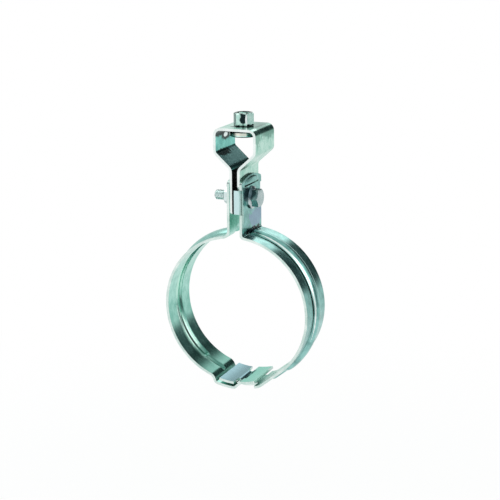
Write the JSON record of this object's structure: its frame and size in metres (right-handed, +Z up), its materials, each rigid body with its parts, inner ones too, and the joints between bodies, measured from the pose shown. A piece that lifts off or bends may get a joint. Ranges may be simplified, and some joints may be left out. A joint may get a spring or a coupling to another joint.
{
  "type": "pipe hanger band",
  "caption": "Pressed steel band that clamps round a pipe, bolted to a bent strap whose swivel nut hangs on a threaded rod.",
  "frame": {"origin": "centre of the pipe seat, halfway along the band's width", "axes": "+Y along the pipe, +X towards the bolt head, +Z up along the hanger rod"},
  "size_m": [0.1252, 0.0386, 0.2165],
  "materials": {
    "zinc_strap": "bright zinc plating, cool blue-green cast",
    "zinc_hooked_half": "bright zinc plating, cool blue-green cast",
    "zinc_slotted_half": "bright zinc plating, cool blue-green cast",
    "zinc_swivel_nut": "bright zinc plating, cool blue-green cast",
    "zinc_bolt": "bright zinc plating, cool blue-green cast",
    "zinc_washer": "bright zinc plating, cool blue-green cast",
    "zinc_nut": "bright zinc plating, cool blue-green cast"
  },
  "bodies": {
    "swivel": {"swivel_nut": "zinc_swivel_nut"},
    "hanger": {"turnbuckle_strap": "zinc_strap", "hooked_band_half": "zinc_hooked_half", "slotted_band_half": "zinc_slotted_half", "clamp_bolt": "zinc_bolt", "spring_washer": "zinc_washer"},
    "nut": {"clamp_nut": "zinc_nut"}
  },
  "joints": [
    {"name": "strap_swivel", "type": "hinge", "parent": "swivel", "child": "hanger", "pos_m": [0, 0, 0.1413], "axis": [0, 0, 1], "continuous": true},
    {"name": "nut_turn", "type": "hinge", "parent": "hanger", "child": "nut", "pos_m": [-0.01145, 0, 0.0868], "axis": [1, 0, 0], "continuous": true}
  ]
}
